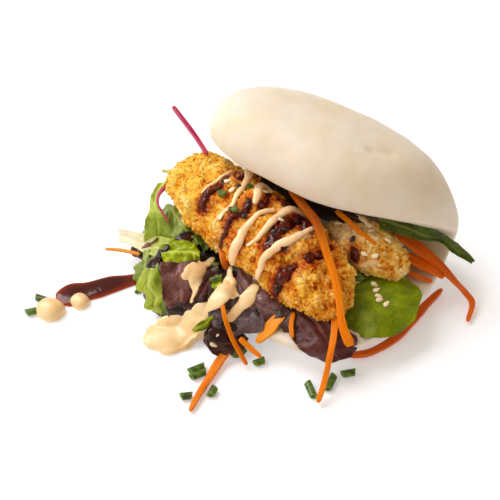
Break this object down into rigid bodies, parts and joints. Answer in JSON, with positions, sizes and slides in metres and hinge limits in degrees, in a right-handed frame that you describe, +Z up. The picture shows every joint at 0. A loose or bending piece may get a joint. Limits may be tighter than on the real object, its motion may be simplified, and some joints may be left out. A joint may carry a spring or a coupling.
{
  "type": "chicken gua bao",
  "caption": "Folded steamed bun filled with a crumbed chicken piece, salad leaves, carrot strips and spiced mayonnaise, with dressed salad spilling from its mouth.",
  "frame": {"origin": "middle of the bun's flat underside, on the plane that it rests on", "axes": "+X along the fold, to the right of someone who looks into the mouth; the mouth opens towards -Y; +Z up"},
  "size_m": [0.1511, 0.1327, 0.0644],
  "materials": {
    "dough": "soft satin skin of steamed wheat dough, ivory",
    "crumb": "rough fried panko crumb, golden brown",
    "salad": "mixed salad leaves, green and purple, dressed",
    "green_leaf": "smooth fresh leaf, yellow green",
    "spinach_leaf": "smooth dark green leaf",
    "red_leaf": "veined purple brown lettuce",
    "carrot": "raw carrot, moist",
    "beet": "moist magenta beet stem",
    "mayonnaise": "smooth spiced mayonnaise, pale orange cream",
    "glaze": "dark glossy soy glaze",
    "chive": "cut chive, green"
  },
  "bodies": {
    "root": {"bun": "dough", "chicken_fillet": "crumb", "chicken_tip": "crumb", "salad_heap": "salad", "green_leaf_right": "green_leaf", "green_leaf_back": "spinach_leaf", "red_leaf_front": "red_leaf", "beet_stem": "beet", "mayo_drop_large": "mayonnaise", "mayo_drop_small": "mayonnaise", "mayo_pool": "mayonnaise", "soy_smear": "glaze", "carrot_long": "carrot", "carrot_thin_top": "carrot", "carrot_right_long": "carrot", "carrot_right_low": "carrot", "carrot_right_under": "carrot", "carrot_front_right": "carrot", "carrot_front": "carrot", "carrot_wide": "carrot", "carrot_curl": "carrot", "carrot_left_long": "carrot", "carrot_left_curve": "carrot", "carrot_left_small": "carrot", "carrot_far_left": "carrot", "chive_1": "chive", "chive_2": "chive", "chive_3": "chive", "chive_4": "chive", "chive_5": "chive", "chive_6": "chive", "chive_7": "chive", "chive_8": "chive", "chive_9": "chive", "chive_10": "chive"}
  },
  "joints": []
}
